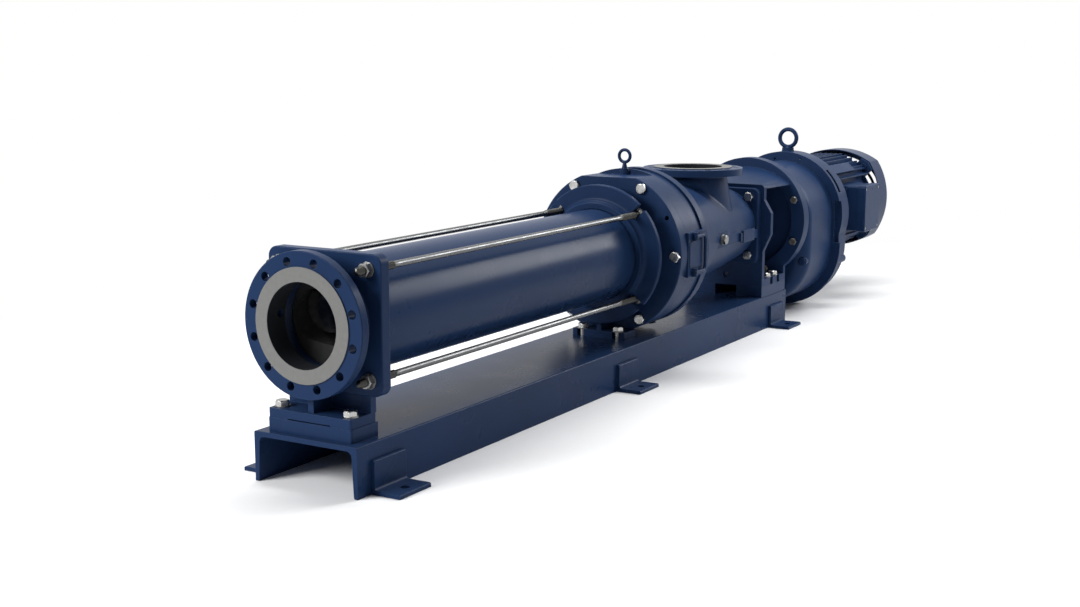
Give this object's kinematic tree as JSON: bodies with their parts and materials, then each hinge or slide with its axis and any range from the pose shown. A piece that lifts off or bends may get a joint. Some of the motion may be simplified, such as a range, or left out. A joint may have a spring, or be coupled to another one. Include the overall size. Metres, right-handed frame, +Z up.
{
  "type": "progressive cavity pump",
  "caption": "Progressive cavity pump with flanged discharge, upright suction branch, geared motor and channel base; the rotor turns and orbits in its lining.",
  "frame": {"origin": "on the floor, at the centre of the four outer anchor holes", "axes": "+X along the pump axis from the discharge flange to the motor, +Z up, +Y away from the side with the terminal box"},
  "size_m": [3.6, 0.535, 0.7],
  "materials": {
    "navy_paint": "semi-gloss dark blue paint",
    "stainless_bolt": "bright stainless steel",
    "bright_rod": "bright drawn steel",
    "machined_steel": "turned steel",
    "hardened_rotor": "polished chrome plating",
    "black_rubber": "black rubber",
    "seal_carbide": "lapped dark ceramic",
    "gear_steel": "ground gear steel",
    "core_laminations": "stacked sheet steel",
    "copper_winding": "varnished copper wire",
    "fan_plastic": "black moulded plastic"
  },
  "bodies": {
    "frame": {"access_drum": "navy_paint", "anchor_feet": "navy_paint", "base_channel": "navy_paint", "casing_cover": "navy_paint", "cover_bolts": "stainless_bolt", "cover_eye_bolt": "navy_paint", "cover_seal": "black_rubber", "discharge_branch": "navy_paint", "drain_plugs": "navy_paint", "fan_cowl": "navy_paint", "gearbox_bearings": "machined_steel", "gearbox_eye_bolt": "navy_paint", "gearbox_flange_bolts": "stainless_bolt", "gearbox_front_housing": "navy_paint", "gearbox_rear_housing": "navy_paint", "gearbox_screws": "stainless_bolt", "handle_pins": "navy_paint", "lantern": "navy_paint", "lantern_spacers": "navy_paint", "large_washers": "stainless_bolt", "long_hex_bolts": "stainless_bolt", "motor_bearings": "machined_steel", "motor_end_shield": "navy_paint", "motor_frame": "navy_paint", "motor_windings": "copper_winding", "output_oil_seal": "black_rubber", "pedestal_spacer": "navy_paint", "port_plugs": "stainless_bolt", "seal_housing": "navy_paint", "seal_stationary_ring": "seal_carbide", "short_hex_bolts": "stainless_bolt", "stator_core": "core_laminations", "stator_lining": "black_rubber", "stator_seals": "black_rubber", "stator_tube": "navy_paint", "suction_casing": "navy_paint", "terminal_box": "navy_paint", "terminal_box_lid": "navy_paint", "terminal_box_screws": "stainless_bolt", "tie_rod_nuts": "stainless_bolt", "tie_rods": "bright_rod"},
    "drive_shaft": {"drive_shaft": "machined_steel", "shaft_pin": "machined_steel", "output_shaft": "machined_steel", "output_gear": "gear_steel", "shaft_joint_boot": "black_rubber", "seal_rotating_ring": "seal_carbide", "seal_bellows": "black_rubber"},
    "coupling_rod": {"coupling_rod": "machined_steel", "joint_pins": "machined_steel"},
    "rotor": {"rotor": "hardened_rotor", "rotor_joint_boot": "black_rubber"},
    "lay_shaft": {"lay_shaft": "gear_steel", "lay_gear": "gear_steel"},
    "motor_rotor": {"motor_shaft": "machined_steel", "motor_rotor_core": "core_laminations", "input_pinion": "gear_steel", "motor_fan": "fan_plastic"},
    "near_handle": {"near_pull_handle": "navy_paint"},
    "far_handle": {"far_pull_handle": "navy_paint"}
  },
  "joints": [
    {"name": "shaft_spin", "type": "hinge", "parent": "frame", "child": "drive_shaft", "pos_m": [1.011, 0, 0.38], "axis": [1, 0, 0], "continuous": true},
    {"name": "rod_orbit", "type": "hinge", "parent": "drive_shaft", "child": "coupling_rod", "pos_m": [0.611, 0, 0.38], "axis": [1, 0, 0], "continuous": true},
    {"name": "rotor_spin", "type": "hinge", "parent": "coupling_rod", "child": "rotor", "pos_m": [-0.489, 0.025, 0.38], "axis": [1, 0, 0], "continuous": true},
    {"name": "lay_shaft_spin", "type": "hinge", "parent": "frame", "child": "lay_shaft", "pos_m": [1.561, 0, 0.22], "axis": [1, 0, 0], "continuous": true},
    {"name": "motor_spin", "type": "hinge", "parent": "frame", "child": "motor_rotor", "pos_m": [1.911, 0, 0.38], "axis": [1, 0, 0], "continuous": true},
    {"name": "near_handle_fold", "type": "hinge", "parent": "frame", "child": "near_handle", "pos_m": [0.238, -0.26, 0.38], "axis": [0, 0, -1], "range_deg": [0, 110]},
    {"name": "far_handle_fold", "type": "hinge", "parent": "frame", "child": "far_handle", "pos_m": [0.238, 0.26, 0.38], "axis": [0, 0, 1], "range_deg": [0, 110]}
  ],
  "couplings": [
    {"joint": "rod_orbit", "follows": "shaft_spin", "ratio": -2},
    {"joint": "rotor_spin", "follows": "shaft_spin", "ratio": 2},
    {"joint": "lay_shaft_spin", "follows": "shaft_spin", "ratio": -2.2},
    {"joint": "motor_spin", "follows": "shaft_spin", "ratio": 4.84}
  ]
}
